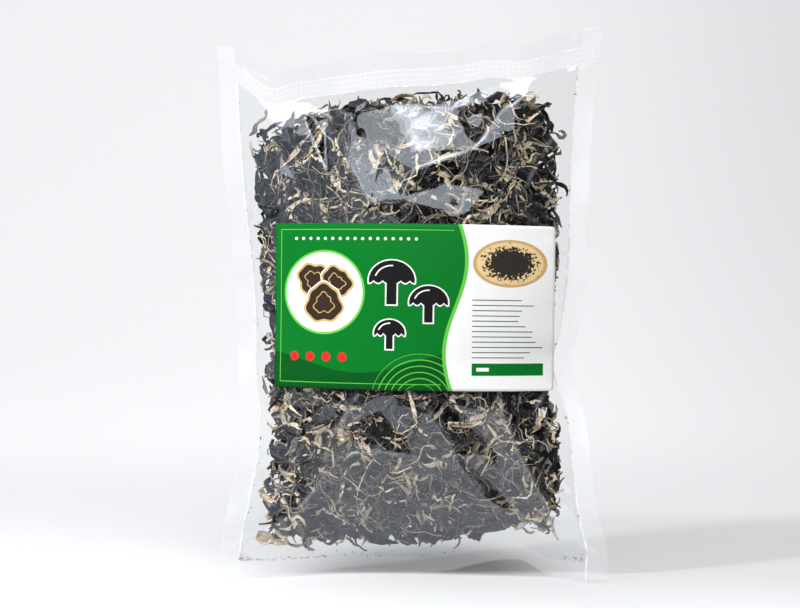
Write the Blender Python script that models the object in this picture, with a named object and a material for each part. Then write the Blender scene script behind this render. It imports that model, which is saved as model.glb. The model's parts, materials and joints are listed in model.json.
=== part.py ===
"""A clear sealed pouch packed with dried wood ear shreds, standing on its bottom seam.

The pouch is two webs of clear film welded along all four edges, with a paper label on its front.
Inside it are the packed small shreds and, between those and the film, the large curled ones.
All sizes are in metres: X across, Y from front to back, Z up.
"""

import math
import random

import bmesh
import bpy
import numpy as np
from mathutils.bvhtree import BVHTree

# The flat pouch before it was filled, and its welded seams.
POUCH_WIDTH = 0.260
POUCH_HEIGHT = 0.360
SIDE_SEAM = 0.014
BOTTOM_SEAM = 0.012
TOP_SEAM = 0.024
FILM_THICKNESS = 0.00025
FILM_GAP = 0.0003

# How far the fill pushes each web out from the plane of the seams.
FRONT_BULGE = 0.037
BACK_BULGE = 0.035

# The label on the front web. Its lower right corner has come away a little.
LABEL_WIDTH = 0.184
LABEL_HEIGHT = 0.108
LABEL_CENTRE = (0.0045, 0.1800)
LABEL_TURN = math.radians(0.8)
LABEL_THICKNESS = 0.0002
LABEL_GAP = 0.0011
LABEL_LIFT = 0.0012
LABEL_CALM = 0.009

# The room between the film and the packed shreds, where the large shreds lie.
SHRED_LAYER = 0.0046
SHRED_DEPTH = 0.0020
SHRED_THICKNESS = 0.0010
SHRED_WAVE = 0.0004
MASS_LUMPS = 0.0022

# The filled pouch's outline. Each side edge is a curve of (height up the flat pouch, X), and the top
# edge is a curve of (place across the flat pouch, Z). The bottom edge is on the floor but for one arch.
LEFT_EDGE = (
    (0.000, -0.1280), (0.034, -0.1230), (0.060, -0.1180), (0.087, -0.1125), (0.105, -0.1110),
    (0.137, -0.1140), (0.185, -0.1160), (0.258, -0.1230), (0.300, -0.1270), (0.360, -0.1310),
)
RIGHT_EDGE = (
    (0.000, 0.1280), (0.013, 0.1315), (0.045, 0.1255), (0.076, 0.1215), (0.107, 0.1170),
    (0.126, 0.1105), (0.142, 0.1072), (0.158, 0.1115), (0.191, 0.1170), (0.258, 0.1205),
    (0.300, 0.1230), (0.360, 0.1300),
)
TOP_EDGE = (
    (-0.130, 0.3580), (-0.114, 0.3530), (-0.100, 0.3420), (-0.090, 0.3365), (-0.078, 0.3400),
    (-0.055, 0.3445), (-0.010, 0.3495), (0.030, 0.3520), (0.055, 0.3550), (0.078, 0.3540),
    (0.090, 0.3575), (0.104, 0.3620), (0.130, 0.3675),
)
ARCH_START, ARCH_TOP, ARCH_END = 0.005, 0.070, 0.096
ARCH_HEIGHT = 0.011

# The seams bend out of their plane. At the bottom the corners come forward and the middle goes back,
# and that bow is what the pouch stands on.
BOTTOM_BOW = (
    (-0.130, -0.0160), (-0.100, -0.0100), (-0.060, 0.0100), (-0.020, 0.0190), (0.030, 0.0210),
    (0.075, 0.0150), (0.098, 0.0050), (0.115, -0.0080), (0.130, -0.0170),
)
TOP_WAVE = (
    (-0.130, 0.0070), (-0.090, -0.0080), (-0.050, 0.0030), (-0.010, -0.0020), (0.040, 0.0040),
    (0.080, -0.0060), (0.105, 0.0040), (0.130, 0.0090),
)
LEFT_WAVE = (
    (0.000, 0.0), (0.060, 0.0020), (0.110, -0.0050), (0.170, 0.0020), (0.260, -0.0020), (0.360, 0.0),
)
RIGHT_WAVE = (
    (0.000, 0.0), (0.070, -0.0020), (0.142, 0.0065), (0.200, -0.0010), (0.280, 0.0020), (0.360, 0.0),
)
BOTTOM_REACH = 0.060
TOP_REACH = 0.045
SIDE_REACH = 0.030

# Creases that stand out of each web. Each has (X, Z) of its two ends, the height of its ridge, and how
# far its flat flanks reach to the left and to the right of it, seen from its first end.
FRONT_CREASES = (
    ((0.028, 0.112), (0.076, 0.020), 0.0038, 0.011, 0.040),
    ((0.062, 0.124), (0.094, 0.038), 0.0034, 0.013, 0.022),
    ((-0.026, 0.104), (-0.074, 0.046), 0.0034, 0.036, 0.012),
    ((-0.044, 0.094), (0.030, 0.102), 0.0026, 0.014, 0.030),
    ((-0.100, 0.110), (-0.080, 0.030), 0.0022, 0.022, 0.014),
    ((-0.116, 0.342), (-0.036, 0.306), 0.0036, 0.014, 0.020),
    ((-0.038, 0.309), (-0.018, 0.240), 0.0034, 0.030, 0.012),
    ((0.066, 0.310), (0.026, 0.262), 0.0034, 0.011, 0.034),
    ((0.112, 0.340), (0.064, 0.306), 0.0036, 0.022, 0.013),
    ((-0.040, 0.312), (0.068, 0.313), 0.0028, 0.012, 0.026),
    ((0.108, 0.146), (0.084, 0.118), 0.0030, 0.014, 0.012),
    ((-0.118, 0.020), (-0.070, 0.052), 0.0026, 0.014, 0.014),
    ((0.122, 0.020), (0.078, 0.046), 0.0026, 0.014, 0.014),
)
BACK_CREASES = (
    ((-0.112, 0.338), (-0.040, 0.288), 0.0036, 0.020, 0.014),
    ((0.110, 0.338), (0.044, 0.292), 0.0036, 0.014, 0.022),
    ((-0.042, 0.290), (0.046, 0.294), 0.0028, 0.022, 0.030),
    ((0.046, 0.292), (0.012, 0.196), 0.0034, 0.030, 0.014),
    ((0.012, 0.198), (-0.052, 0.134), 0.0030, 0.034, 0.016),
    ((-0.052, 0.136), (-0.030, 0.052), 0.0032, 0.016, 0.034),
    ((-0.120, 0.020), (-0.050, 0.062), 0.0030, 0.016, 0.016),
    ((0.122, 0.020), (0.052, 0.070), 0.0032, 0.016, 0.018),
    ((0.052, 0.070), (0.078, 0.150), 0.0030, 0.030, 0.014),
    ((-0.104, 0.196), (-0.060, 0.226), 0.0026, 0.014, 0.018),
    ((0.104, 0.214), (0.074, 0.236), 0.0026, 0.012, 0.014),
)
CREASE_TAPER = 0.25
CREASE_START = 0.010

# The large shreds that show on the front: (X, Z) of points along each, and its width.
FRONT_SHREDS = {
    "shred_long_middle": (
        ((-0.014, 0.284), (-0.010, 0.273), (0.000, 0.264), (0.014, 0.253), (0.026, 0.248), (0.037, 0.240)),
        0.0042,
    ),
    "shred_broad_right": (((0.056, 0.279), (0.062, 0.268), (0.073, 0.258), (0.078, 0.246)), 0.0068),
    "shred_prong_right": (((0.078, 0.292), (0.077, 0.281), (0.083, 0.271)), 0.0034),
    "shred_curl_upper_left": (
        ((-0.066, 0.298), (-0.075, 0.292), (-0.074, 0.282), (-0.064, 0.279), (-0.058, 0.287)),
        0.0038,
    ),
    "shred_fork_upper_left": (((-0.048, 0.293), (-0.045, 0.281), (-0.038, 0.272), (-0.042, 0.260)), 0.0050),
    "shred_arm_upper_left": (((-0.026, 0.297), (-0.031, 0.288), (-0.032, 0.280)), 0.0036),
    "shred_sweep_left": (((-0.086, 0.264), (-0.073, 0.258), (-0.062, 0.247), (-0.049, 0.242)), 0.0036),
    "shred_ring_right": (
        ((0.093, 0.268), (0.087, 0.263), (0.087, 0.254), (0.094, 0.250), (0.098, 0.256)),
        0.0032,
    ),
    "shred_low_blade": (((0.046, 0.036), (0.056, 0.047), (0.069, 0.052), (0.082, 0.060)), 0.0052),
    "shred_low_flag": (((0.070, 0.030), (0.077, 0.037), (0.085, 0.048)), 0.0058),
    "shred_low_spike_left": (((-0.040, 0.105), (-0.031, 0.095), (-0.022, 0.084), (-0.011, 0.079)), 0.0044),
    "shred_low_hook_left": (((-0.050, 0.089), (-0.058, 0.079), (-0.060, 0.067)), 0.0034),
    "shred_low_spike_middle": (((0.013, 0.117), (0.010, 0.105), (0.005, 0.094)), 0.0046),
    "shred_low_hook_right": (((0.048, 0.086), (0.058, 0.078), (0.067, 0.081), (0.070, 0.091)), 0.0042),
    "shred_low_wave": (
        ((-0.047, 0.056), (-0.035, 0.061), (-0.023, 0.056), (-0.011, 0.050), (0.000, 0.053)),
        0.0044,
    ),
    "shred_low_arc": (((-0.010, 0.033), (0.001, 0.037), (0.009, 0.044)), 0.0040),
    "shred_left_hook": (((-0.095, 0.104), (-0.089, 0.099), (-0.080, 0.101), (-0.073, 0.094)), 0.0040),
    "shred_left_fork": (((-0.092, 0.068), (-0.086, 0.057), (-0.080, 0.047), (-0.070, 0.042)), 0.0052),
}

# More large shreds, laid out by a seeded draw and kept clear of the others.
FRONT_EXTRA = 10
BACK_EXTRA = 18
EXTRA_LENGTH = (0.026, 0.050)
EXTRA_WIDTH = (0.0034, 0.0056)
EXTRA_CURL = 42.0
EXTRA_GAP = 0.0014
LAYOUT_SEED = 41

# Cells of each web between its seams, and of the other pieces.
WEB_CELLS = (16, 22)
MASS_CELLS = (15, 21)
LABEL_CELLS = (14, 8)
SHRED_CUTS = 8

# Moves the whole pouch so that its middle stands on the origin.
CENTRE_SHIFT = (-0.00019, 0.00013, 0.0)

FILM_COLOUR = (0.90, 0.93, 0.95, 0.25)
PALE_COLOUR = (0.42, 0.33, 0.22, 1.0)
DARK_COLOUR = (0.025, 0.024, 0.026, 1.0)
LABEL_COLOUR = (0.02, 0.30, 0.07, 1.0)


def through(knots, at):
    """The value at each place in at of a smooth curve through the knots (place, value)."""
    places, values = np.array(knots, float).T
    slopes = np.gradient(values, places)
    at = np.clip(at, places[0], places[-1])
    i = np.clip(np.searchsorted(places, at) - 1, 0, len(places) - 2)
    step = places[i + 1] - places[i]
    t = (at - places[i]) / step
    return (
        values[i] * (1 + 2 * t) * (1 - t) ** 2
        + values[i + 1] * t**2 * (3 - 2 * t)
        + slopes[i] * step * t * (1 - t) ** 2
        - slopes[i + 1] * step * t**2 * (1 - t)
    )


def eased(t):
    t = np.clip(t, 0, 1)
    return t * t * (3 - 2 * t)


def bottom_edge(across):
    rise = eased((across - ARCH_START) / (ARCH_TOP - ARCH_START))
    fall = eased((ARCH_END - across) / (ARCH_END - ARCH_TOP))
    return ARCH_HEIGHT * rise * fall


def place_of(across, up):
    """X and Z of a point of the flat pouch: across from its middle, up from its bottom edge."""
    share = across / POUCH_WIDTH + 0.5
    # The bottom seam hangs plumb, so its cut edge lies flat on the floor.
    side = np.maximum(up, BOTTOM_SEAM)
    left, right = through(LEFT_EDGE, side), through(RIGHT_EDGE, side)
    low, high = bottom_edge(across), through(TOP_EDGE, across)
    return left + (right - left) * share, low + (high - low) * up / POUCH_HEIGHT


def flat_of(x, z):
    """The point of the flat pouch that lies at X and Z, the inverse of place_of."""
    across, up = x, z
    for _ in range(8):
        low, high = bottom_edge(across), through(TOP_EDGE, across)
        up = (z - low) / (high - low) * POUCH_HEIGHT
        side = np.maximum(up, BOTTOM_SEAM)
        left, right = through(LEFT_EDGE, side), through(RIGHT_EDGE, side)
        across = ((x - left) / (right - left) - 0.5) * POUCH_WIDTH
    return across, up


def seam_plane(across, up):
    """Y of the surface in which the two webs meet at their seams."""
    side = np.maximum(up, BOTTOM_SEAM)
    above = side - BOTTOM_SEAM
    below = np.maximum(POUCH_HEIGHT - TOP_SEAM - up, 0)
    from_left = across + POUCH_WIDTH / 2
    from_right = POUCH_WIDTH / 2 - across
    return (
        through(BOTTOM_BOW, across) * np.exp(-((above / BOTTOM_REACH) ** 2))
        + through(TOP_WAVE, across) * np.exp(-((below / TOP_REACH) ** 2))
        + through(LEFT_WAVE, side) * np.exp(-((from_left / SIDE_REACH) ** 2))
        + through(RIGHT_WAVE, side) * np.exp(-((from_right / SIDE_REACH) ** 2))
    )


def fullness(across, up):
    """0 at the seams and 1 in the middle of the pouch."""
    half_width = POUCH_WIDTH / 2 - SIDE_SEAM
    half_height = (POUCH_HEIGHT - BOTTOM_SEAM - TOP_SEAM) / 2
    p = np.clip(np.abs(across) / half_width, 0, 1)
    q = np.clip(np.abs(up - BOTTOM_SEAM - half_height) / half_height, 0, 1)
    return (1 - p**2) * (1 - q**3)


def beyond_label(x, z):
    """How far X and Z are outside the label's edges, below zero on the label."""
    beside = np.abs(x - LABEL_CENTRE[0]) - LABEL_WIDTH / 2
    over = np.abs(z - LABEL_CENTRE[1]) - LABEL_HEIGHT / 2
    return np.maximum(beside, over)


def creased(creases, x, z):
    """How far the creases stand out of a web: each is a sharp ridge with two flat flanks."""
    out = np.zeros_like(x)
    for (x0, z0), (x1, z1), height, left_flank, right_flank in creases:
        length = math.hypot(x1 - x0, z1 - z0)
        along_x, along_z = (x1 - x0) / length, (z1 - z0) / length
        share = ((x - x0) * along_x + (z - z0) * along_z) / length
        side = (x - x0) * along_z - (z - z0) * along_x
        tent = np.clip(1 - np.abs(side) / np.where(side < 0, left_flank, right_flank), 0, None)
        out += height * tent * eased(share / CREASE_TAPER) * eased((1 - share) / CREASE_TAPER)
    return out


def web_y(across, up, front, inset=0.0, creases=()):
    """Y of the inner face of the front or the back web, or of a surface that lies inset inside it."""
    x, z = place_of(across, up)
    full = fullness(across, up)
    bulge = FRONT_BULGE if front else BACK_BULGE
    out = FILM_GAP / 2 + bulge * full - inset
    out = out + creased(creases, x, z) * eased(full * bulge / CREASE_START)
    return seam_plane(across, up) + (-out if front else out)


def finish(name, colour, roughness):
    made = bpy.data.materials.new(name)
    made.use_nodes = True
    shader = made.node_tree.nodes["Principled BSDF"]
    shader.inputs["Base Color"].default_value = colour
    shader.inputs["Roughness"].default_value = roughness
    shader.inputs["Metallic"].default_value = 0.0
    shader.inputs["Alpha"].default_value = colour[3]
    return made


def add_object(name, bm, look, pouch):
    mesh = bpy.data.meshes.new(name)
    bm.to_mesh(mesh)
    bm.free()
    mesh.materials.append(look)
    made = bpy.data.objects.new(name, mesh)
    bpy.context.scene.collection.objects.link(made)
    made.parent = pouch
    return made


def thicken(sheet, thickness):
    """Gives a sheet its thickness, on the side to which its faces point."""
    solid = sheet.modifiers.new("Thickness", "SOLIDIFY")
    solid.thickness = thickness
    solid.offset = 1.0


def grid_sheet(cells, place):
    """A grid of triangles whose points go where place puts their shares, 0 to 1, of its two sides."""
    bm = bmesh.new()
    bmesh.ops.create_grid(bm, x_segments=cells[0], y_segments=cells[1], size=0.5)
    move_points(bm.verts, place)
    bmesh.ops.triangulate(bm, faces=bm.faces)
    return bm


def move_points(verts, place):
    shares = np.array([vert.co[:2] for vert in verts]) + 0.5
    for vert, spot in zip(verts, np.column_stack(place(*shares.T))):
        vert.co = spot


def cell_lines(low, high, cells, first, last):
    """Evenly spaced lines between two seams, with one more line on the far side of each seam."""
    return np.concatenate([[low], np.linspace(low + first, high - last, cells + 1), [high]])


def make_web(name, front, look, pouch):
    """One web of film: a grid over the flat pouch, bent to its place, with its thickness outside."""
    half = POUCH_WIDTH / 2
    across_lines = cell_lines(-half, half, WEB_CELLS[0], SIDE_SEAM, SIDE_SEAM)
    up_lines = cell_lines(0.0, POUCH_HEIGHT, WEB_CELLS[1], BOTTOM_SEAM, TOP_SEAM)
    cells = (len(across_lines) - 1, len(up_lines) - 1)

    def place(s, t):
        across = across_lines[np.rint(s * cells[0]).astype(int)]
        up = up_lines[np.rint(t * cells[1]).astype(int)]
        x, z = place_of(across, up)
        y = web_y(across, up, front, creases=FRONT_CREASES if front else BACK_CREASES)
        if front:
            smooth = web_y(across, up, front)
            y = smooth + (y - smooth) * eased((beyond_label(x, z) - LABEL_CALM) / LABEL_CALM)
        return x, y, z

    bm = grid_sheet(cells, place)
    if not front:
        bmesh.ops.reverse_faces(bm, faces=bm.faces)
    tree = BVHTree.FromBMesh(bm)
    thicken(add_object(name, bm, look, pouch), FILM_THICKNESS)
    return tree


def face_at(tree, front, x, z):
    """Y of a web's inner face at each X and Z."""
    start, way = (-1.0, 1.0) if front else (1.0, -1.0)
    hits = [tree.ray_cast((a, start, b), (0.0, way, 0.0))[0] for a, b in zip(x, z)]
    return np.array([hit.y for hit in hits])


def make_label(tree, look, pouch):
    """The paper label, which follows the front web."""

    def place(s, t):
        over, up = (s - 0.5) * LABEL_WIDTH, (t - 0.5) * LABEL_HEIGHT
        x = LABEL_CENTRE[0] + over * math.cos(LABEL_TURN) + up * math.sin(LABEL_TURN)
        z = LABEL_CENTRE[1] - over * math.sin(LABEL_TURN) + up * math.cos(LABEL_TURN)
        lift = LABEL_LIFT * eased((s - t - 0.75) / 0.25)
        return x, face_at(tree, True, x, z) - LABEL_GAP - lift, z

    thicken(add_object("label", grid_sheet(LABEL_CELLS, place), look, pouch), LABEL_THICKNESS)


def make_mass(look, pouch):
    """The packed small shreds: a lumpy cushion that follows both webs."""
    draw = np.random.default_rng(LAYOUT_SEED)

    def flat_place(s, t):
        # A rectangle with rounded corners, as far out as the webs are wide enough apart.
        a, b = 2 * s - 1, 2 * t - 1
        across = (POUCH_WIDTH / 2 - SIDE_SEAM) * 0.922 * a * (1 - 0.125 * b**4)
        half_height = (POUCH_HEIGHT - BOTTOM_SEAM - TOP_SEAM) / 2
        return across, BOTTOM_SEAM + half_height * (1 + 0.947 * b * (1 - 0.125 * a**4))

    def side(front):
        def place(s, t):
            across, up = flat_place(s, t)
            x, z = place_of(across, up)
            inside = 4 * np.minimum(np.minimum(s, 1 - s), np.minimum(t, 1 - t))
            lumps = MASS_LUMPS * draw.random(len(s)) * np.clip(inside, 0, 1)
            return x, web_y(across, up, front, inset=SHRED_LAYER) + (lumps if front else -lumps), z

        return place

    bm = bmesh.new()
    bmesh.ops.create_grid(bm, x_segments=MASS_CELLS[0], y_segments=MASS_CELLS[1], size=0.5)
    front_points = bm.verts[:]
    made = bmesh.ops.extrude_face_region(bm, geom=bm.faces[:])["geom"]
    back_points = [piece for piece in made if isinstance(piece, bmesh.types.BMVert)]
    move_points(front_points, side(True))
    move_points(back_points, side(False))
    bmesh.ops.recalc_face_normals(bm, faces=bm.faces)
    add_object("shred_mass", bm, look, pouch)


def along(points, share):
    """X and Z at each share of a smooth curve through the points."""
    steps = np.arange(len(points))
    xs, zs = np.array(points).T
    at = share * steps[-1]
    return through(np.column_stack((steps, xs)), at), through(np.column_stack((steps, zs)), at)


def make_shred(name, points, width, tree, front, look, pouch):
    """A flat ribbon bent along its points, tapered at both ends and lying just inside a web."""
    bm = bmesh.new()
    bmesh.ops.create_cube(bm, size=1.0)
    long_edges = [e for e in bm.edges if abs(e.verts[0].co.x - e.verts[1].co.x) > 0.5]
    bmesh.ops.subdivide_edges(bm, edges=long_edges, cuts=SHRED_CUTS, use_grid_fill=True)
    length, over, depth = np.array([vert.co for vert in bm.verts]).T
    share = length + 0.5
    x, z = along(points, share)
    ahead_x, ahead_z = along(points, np.minimum(share + 0.01, 1.0))
    behind_x, behind_z = along(points, np.maximum(share - 0.01, 0.0))
    run_x, run_z = ahead_x - behind_x, ahead_z - behind_z
    run = np.hypot(run_x, run_z)
    reach = width * over * (0.35 + 0.65 * np.sin(math.pi * share) ** 0.6)
    x, z = x - reach * run_z / run, z + reach * run_x / run
    inward = SHRED_DEPTH + SHRED_THICKNESS * depth + SHRED_WAVE * np.sin(9 * share)
    y = face_at(tree, front, x, z) + (inward if front else -inward)
    for vert, spot in zip(bm.verts, np.column_stack((x, y, z))):
        vert.co = spot
    if front:
        bmesh.ops.reverse_faces(bm, faces=bm.faces)
    add_object(name, bm, look, pouch)


def drawn_path(draw):
    """A curled path of a random shape, and its width."""
    width = draw.uniform(*EXTRA_WIDTH)
    step = draw.uniform(*EXTRA_LENGTH) / 4
    x, z = draw.uniform(-0.100, 0.100), draw.uniform(0.030, 0.315)
    heading = draw.uniform(0.0, 360.0)
    curl = draw.uniform(-EXTRA_CURL, EXTRA_CURL)
    points = [(x, z)]
    for _ in range(4):
        x += step * math.cos(math.radians(heading))
        z += step * math.sin(math.radians(heading))
        heading += curl + draw.uniform(-15.0, 15.0)
        points.append((x, z))
    return points, width


def fits(points, width, taken, front):
    """Whether a path stays inside the packed fill, off the label and clear of the paths taken."""
    x, z = along(points, np.linspace(0, 1, 24))
    if fullness(*flat_of(x, z)).min() < 0.24:
        return False
    if front and beyond_label(x, z).min() < 0.006:
        return False
    for other, other_width in taken:
        other_x, other_z = along(other, np.linspace(0, 1, 24))
        apart = np.hypot(x[:, None] - other_x, z[:, None] - other_z).min()
        if apart < (width + other_width) / 2 + EXTRA_GAP:
            return False
    return True


def lay_out(count, taken, front):
    """Adds drawn paths to those taken, until there are count more of them."""
    draw = random.Random(LAYOUT_SEED + front)
    wanted = len(taken) + count
    while len(taken) < wanted:
        points, width = drawn_path(draw)
        if fits(points, width, taken, front):
            taken.append((points, width))
    return taken[-count:]


def main():
    for old in list(bpy.data.objects):
        bpy.data.objects.remove(old)
    pouch = bpy.data.objects.new("pouch", None)
    bpy.context.scene.collection.objects.link(pouch)
    pouch.location = CENTRE_SHIFT

    film = finish("clear_film", FILM_COLOUR, 0.1)
    paper = finish("label_paper", LABEL_COLOUR, 0.35)
    pale = finish("pale_shred", PALE_COLOUR, 0.6)
    dark = finish("dark_shred", DARK_COLOUR, 0.35)

    front_tree = make_web("film_front", True, film, pouch)
    back_tree = make_web("film_back", False, film, pouch)
    make_label(front_tree, paper, pouch)
    make_mass(dark, pouch)

    for i, (name, (points, width)) in enumerate(FRONT_SHREDS.items()):
        make_shred(name, points, width, front_tree, True, dark if i % 4 == 3 else pale, pouch)
    front_extra = lay_out(FRONT_EXTRA, list(FRONT_SHREDS.values()), True)
    for i, (points, width) in enumerate(front_extra):
        make_shred(f"shred_front_{i + 1:02}", points, width, front_tree, True, (pale, dark)[i % 2], pouch)
    for i, (points, width) in enumerate(lay_out(BACK_EXTRA, [], False)):
        make_shred(f"shred_back_{i + 1:02}", points, width, back_tree, False, (pale, dark)[i % 2], pouch)


main()
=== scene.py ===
import json
import math
from functools import partial

import bmesh
import bpy
import numpy as np
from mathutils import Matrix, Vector, geometry
from mathutils.bvhtree import BVHTree


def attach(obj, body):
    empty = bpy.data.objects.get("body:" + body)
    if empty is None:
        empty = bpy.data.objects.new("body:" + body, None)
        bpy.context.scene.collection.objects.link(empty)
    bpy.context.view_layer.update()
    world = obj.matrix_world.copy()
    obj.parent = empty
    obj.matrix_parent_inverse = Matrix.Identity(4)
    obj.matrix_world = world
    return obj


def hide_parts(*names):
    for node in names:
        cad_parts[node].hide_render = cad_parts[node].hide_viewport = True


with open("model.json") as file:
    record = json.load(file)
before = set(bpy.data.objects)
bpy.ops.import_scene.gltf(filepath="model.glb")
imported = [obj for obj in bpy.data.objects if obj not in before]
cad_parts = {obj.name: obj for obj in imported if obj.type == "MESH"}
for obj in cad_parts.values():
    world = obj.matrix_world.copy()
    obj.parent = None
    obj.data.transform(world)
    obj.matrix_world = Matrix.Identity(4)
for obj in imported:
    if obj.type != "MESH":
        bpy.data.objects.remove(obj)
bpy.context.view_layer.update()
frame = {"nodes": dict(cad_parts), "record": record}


# The pouch's webs
# Two webs of clear polymer film, heat-sealed along all four edges with a knurled bar at the top. The
# fill pushes them apart, and the spare width goes into sharp folds that run from the corners.

pouch_width, pouch_height = 0.260, 0.360
side_seam, bottom_seam, top_seam, knurl_width = 0.014, 0.012, 0.024, 0.0114
film_thickness, film_gap = 0.00025, 0.0003
bulges = {"front": 0.037, "back": 0.035}
corner_radius, facet_size, crumple_size = 0.004, 0.024, 0.011
pouch_shift = np.array((-0.00019, 0.00013, 0.0))

left_edge = (
    (0.000, -0.1280), (0.034, -0.1230), (0.060, -0.1180), (0.087, -0.1125), (0.105, -0.1110),
    (0.137, -0.1140), (0.185, -0.1160), (0.258, -0.1230), (0.300, -0.1270), (0.360, -0.1310),
)
right_edge = (
    (0.000, 0.1280), (0.013, 0.1315), (0.045, 0.1255), (0.076, 0.1215), (0.107, 0.1170),
    (0.126, 0.1105), (0.142, 0.1072), (0.158, 0.1115), (0.191, 0.1170), (0.258, 0.1205),
    (0.300, 0.1230), (0.360, 0.1300),
)
top_edge = (
    (-0.130, 0.3580), (-0.114, 0.3530), (-0.100, 0.3420), (-0.090, 0.3365), (-0.078, 0.3400),
    (-0.055, 0.3445), (-0.010, 0.3495), (0.030, 0.3520), (0.055, 0.3550), (0.078, 0.3540),
    (0.090, 0.3575), (0.104, 0.3620), (0.130, 0.3675),
)
bottom_bow = (
    (-0.130, -0.0160), (-0.100, -0.0100), (-0.060, 0.0100), (-0.020, 0.0190), (0.030, 0.0210),
    (0.075, 0.0150), (0.098, 0.0050), (0.115, -0.0080), (0.130, -0.0170),
)
top_wave = (
    (-0.130, 0.0070), (-0.090, -0.0080), (-0.050, 0.0030), (-0.010, -0.0020), (0.040, 0.0040),
    (0.080, -0.0060), (0.105, 0.0040), (0.130, 0.0090),
)
left_wave = (
    (0.000, 0.0), (0.060, 0.0020), (0.110, -0.0050), (0.170, 0.0020), (0.260, -0.0020), (0.360, 0.0),
)
right_wave = (
    (0.000, 0.0), (0.070, -0.0020), (0.142, 0.0065), (0.200, -0.0010), (0.280, 0.0020), (0.360, 0.0),
)

# A crease is a bent line of points (X, Z, how far it stands out of the smooth web, below 0 for a dent).
creases = {
    "front": (
        ((0.0126, 0.1180, 0.0026), (0.0330, 0.0840, 0.0050), (0.0520, 0.0540, 0.0065),
         (0.0710, 0.0290, 0.0050)),
        ((0.0286, 0.1175, -0.0010), (0.0605, 0.0838, -0.0016)),
        ((0.0375, 0.0775, 0.0004), (0.0590, 0.0595, -0.0010), (0.0720, 0.0440, -0.0010),
         (0.0884, 0.0319, 0.0006)),
        ((0.0600, 0.1200, 0.0040), (0.0720, 0.0880, 0.0070), (0.0860, 0.0600, 0.0085),
         (0.0970, 0.0359, 0.0060)),
        ((-0.0310, 0.1230, 0.0012), (-0.0500, 0.0944, 0.0036), (-0.0580, 0.0632, 0.0046),
         (-0.0758, 0.0419, 0.0036), (-0.0700, 0.0270, 0.0012)),
        ((-0.0700, 0.1080, -0.0006), (-0.0780, 0.0720, -0.0016), (-0.0920, 0.0480, -0.0008)),
        ((-0.0426, 0.0820, 0.0026), (-0.0190, 0.0865, 0.0030), (0.0073, 0.0820, 0.0032)),
        ((-0.1180, 0.0200, 0.0010), (-0.0950, 0.0330, 0.0030)),
        ((0.1220, 0.0200, 0.0008), (0.1050, 0.0290, 0.0026)),
        ((0.1080, 0.1460, 0.0010), (0.0960, 0.1310, 0.0032), (0.0840, 0.1150, 0.0015)),
        ((-0.1160, 0.3420, 0.0010), (-0.0760, 0.3240, 0.0042), (-0.0370, 0.3060, 0.0038),
         (-0.0390, 0.2770, 0.0032), (-0.0240, 0.2480, 0.0020)),
        ((0.1120, 0.3400, 0.0010), (0.0880, 0.3240, 0.0042), (0.0620, 0.3080, 0.0034),
         (0.0446, 0.2830, 0.0048), (0.0060, 0.2690, 0.0048), (-0.0020, 0.2500, 0.0030)),
        ((-0.0080, 0.3130, 0.0022), (0.0300, 0.3120, 0.0026)),
        ((-0.1050, 0.2960, 0.0026), (-0.0900, 0.3080, 0.0060), (-0.0700, 0.3110, 0.0048)),
        ((0.0940, 0.2900, -0.0008), (0.0780, 0.2600, 0.0024)),
    ),
    "back": (
        ((-0.1120, 0.3380, 0.0010), (-0.0760, 0.3130, 0.0044), (-0.0400, 0.2880, 0.0034),
         (0.0460, 0.2940, 0.0034), (0.0780, 0.3150, 0.0044), (0.1100, 0.3380, 0.0010)),
        ((0.0460, 0.2860, 0.0030), (0.0290, 0.2440, 0.0038), (0.0120, 0.1970, 0.0028),
         (-0.0200, 0.1660, 0.0028), (-0.0520, 0.1350, 0.0030), (-0.0410, 0.0940, 0.0036),
         (-0.0300, 0.0520, 0.0010)),
        ((-0.0620, 0.2400, -0.0010), (-0.0330, 0.2050, 0.0030), (-0.0300, 0.1700, -0.0004)),
        ((-0.1200, 0.0200, 0.0010), (-0.0850, 0.0410, 0.0036), (-0.0560, 0.0600, 0.0010)),
        ((0.1220, 0.0200, 0.0010), (0.0870, 0.0450, 0.0040), (0.0520, 0.0700, 0.0032),
         (0.0650, 0.1100, 0.0036), (0.0780, 0.1500, 0.0012)),
        ((-0.1040, 0.1960, 0.0006), (-0.0820, 0.2110, 0.0032), (-0.0650, 0.2260, 0.0008)),
        ((0.1040, 0.2140, 0.0006), (0.0890, 0.2250, 0.0032), (0.0740, 0.2360, 0.0008)),
    ),
}

label_width, label_height = 0.184, 0.108
label_centre, label_turn = (0.0045, 0.1800), math.radians(0.8)


def through(knots, at):
    """The value at each place in at of a smooth curve through the knots (place, value)."""
    places, values = np.array(knots, float).T
    slopes = np.gradient(values, places)
    at = np.clip(at, places[0], places[-1])
    i = np.clip(np.searchsorted(places, at) - 1, 0, len(places) - 2)
    step = places[i + 1] - places[i]
    t = (at - places[i]) / step
    return (
        values[i] * (1 + 2 * t) * (1 - t) ** 2
        + values[i + 1] * t**2 * (3 - 2 * t)
        + slopes[i] * step * t * (1 - t) ** 2
        - slopes[i + 1] * step * t**2 * (1 - t)
    )


def eased(t):
    t = np.clip(t, 0, 1)
    return t * t * (3 - 2 * t)


def bottom_edge(across):
    """Z of the bottom edge, which lifts off the floor in a low arch on the right."""
    height, start, end = 0.011, 0.005, 0.096
    return height * eased((across - start) / 0.065) * eased((end - across) / 0.026)


def place_of(across, up):
    """X and Z of a point of the flat pouch: across from its middle, up from its bottom edge."""
    share = across / pouch_width + 0.5
    side = np.maximum(up, bottom_seam)
    left, right = through(left_edge, side), through(right_edge, side)
    low, high = bottom_edge(across), through(top_edge, across)
    return left + (right - left) * share, low + (high - low) * up / pouch_height


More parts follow.
